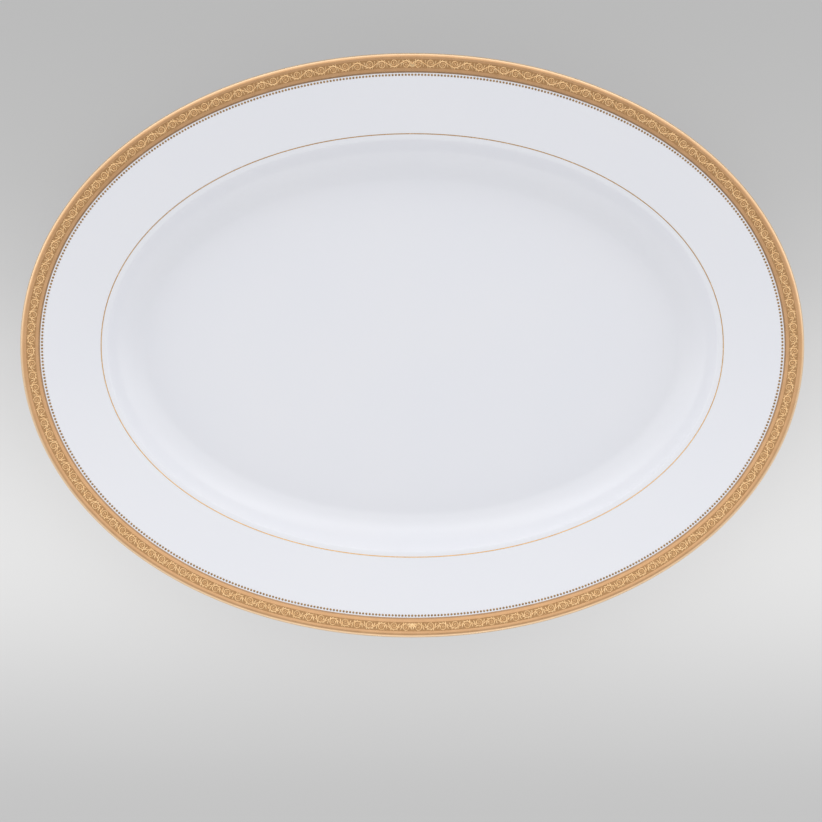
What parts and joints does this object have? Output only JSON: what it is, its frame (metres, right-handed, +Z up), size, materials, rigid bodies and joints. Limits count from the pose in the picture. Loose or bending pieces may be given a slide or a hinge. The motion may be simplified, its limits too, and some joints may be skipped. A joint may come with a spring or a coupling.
{
  "type": "serving platter",
  "caption": "Oval china serving platter with a wide rim, a shallow well on a foot ring, and a gilded border with an etched scroll band and a dotted line.",
  "frame": {"origin": "centre of the foot ring's contact plane, on the surface the platter rests on", "axes": "+X along the platter's length, +Y across its width, +Z up out of the well"},
  "size_m": [0.4128, 0.3078, 0.03],
  "materials": {
    "biscuit": "unglazed fired porcelain, fine and matte, bare only on the foot ring",
    "glaze": "smooth high-gloss clear glaze over cool white porcelain",
    "polished_gold": "burnished gold, smooth with soft reflections",
    "etched_gold": "gold over an acid-etched ground, matte and stippled between bright raised scrolls",
    "line_gold": "thin banded gold, and dots of thicker, darker gold",
    "printed_mark": "fired print under the foot, with no text"
  },
  "bodies": {
    "root": {"porcelain_body": "biscuit", "glaze_face": "glaze", "glaze_underside": "glaze", "gold_edge_band": "polished_gold", "etched_gold_band": "etched_gold", "gold_inner_band": "polished_gold", "gold_fine_line": "line_gold", "gold_dot_row": "line_gold", "gold_verge_line": "line_gold", "underside_mark": "printed_mark"}
  },
  "joints": []
}
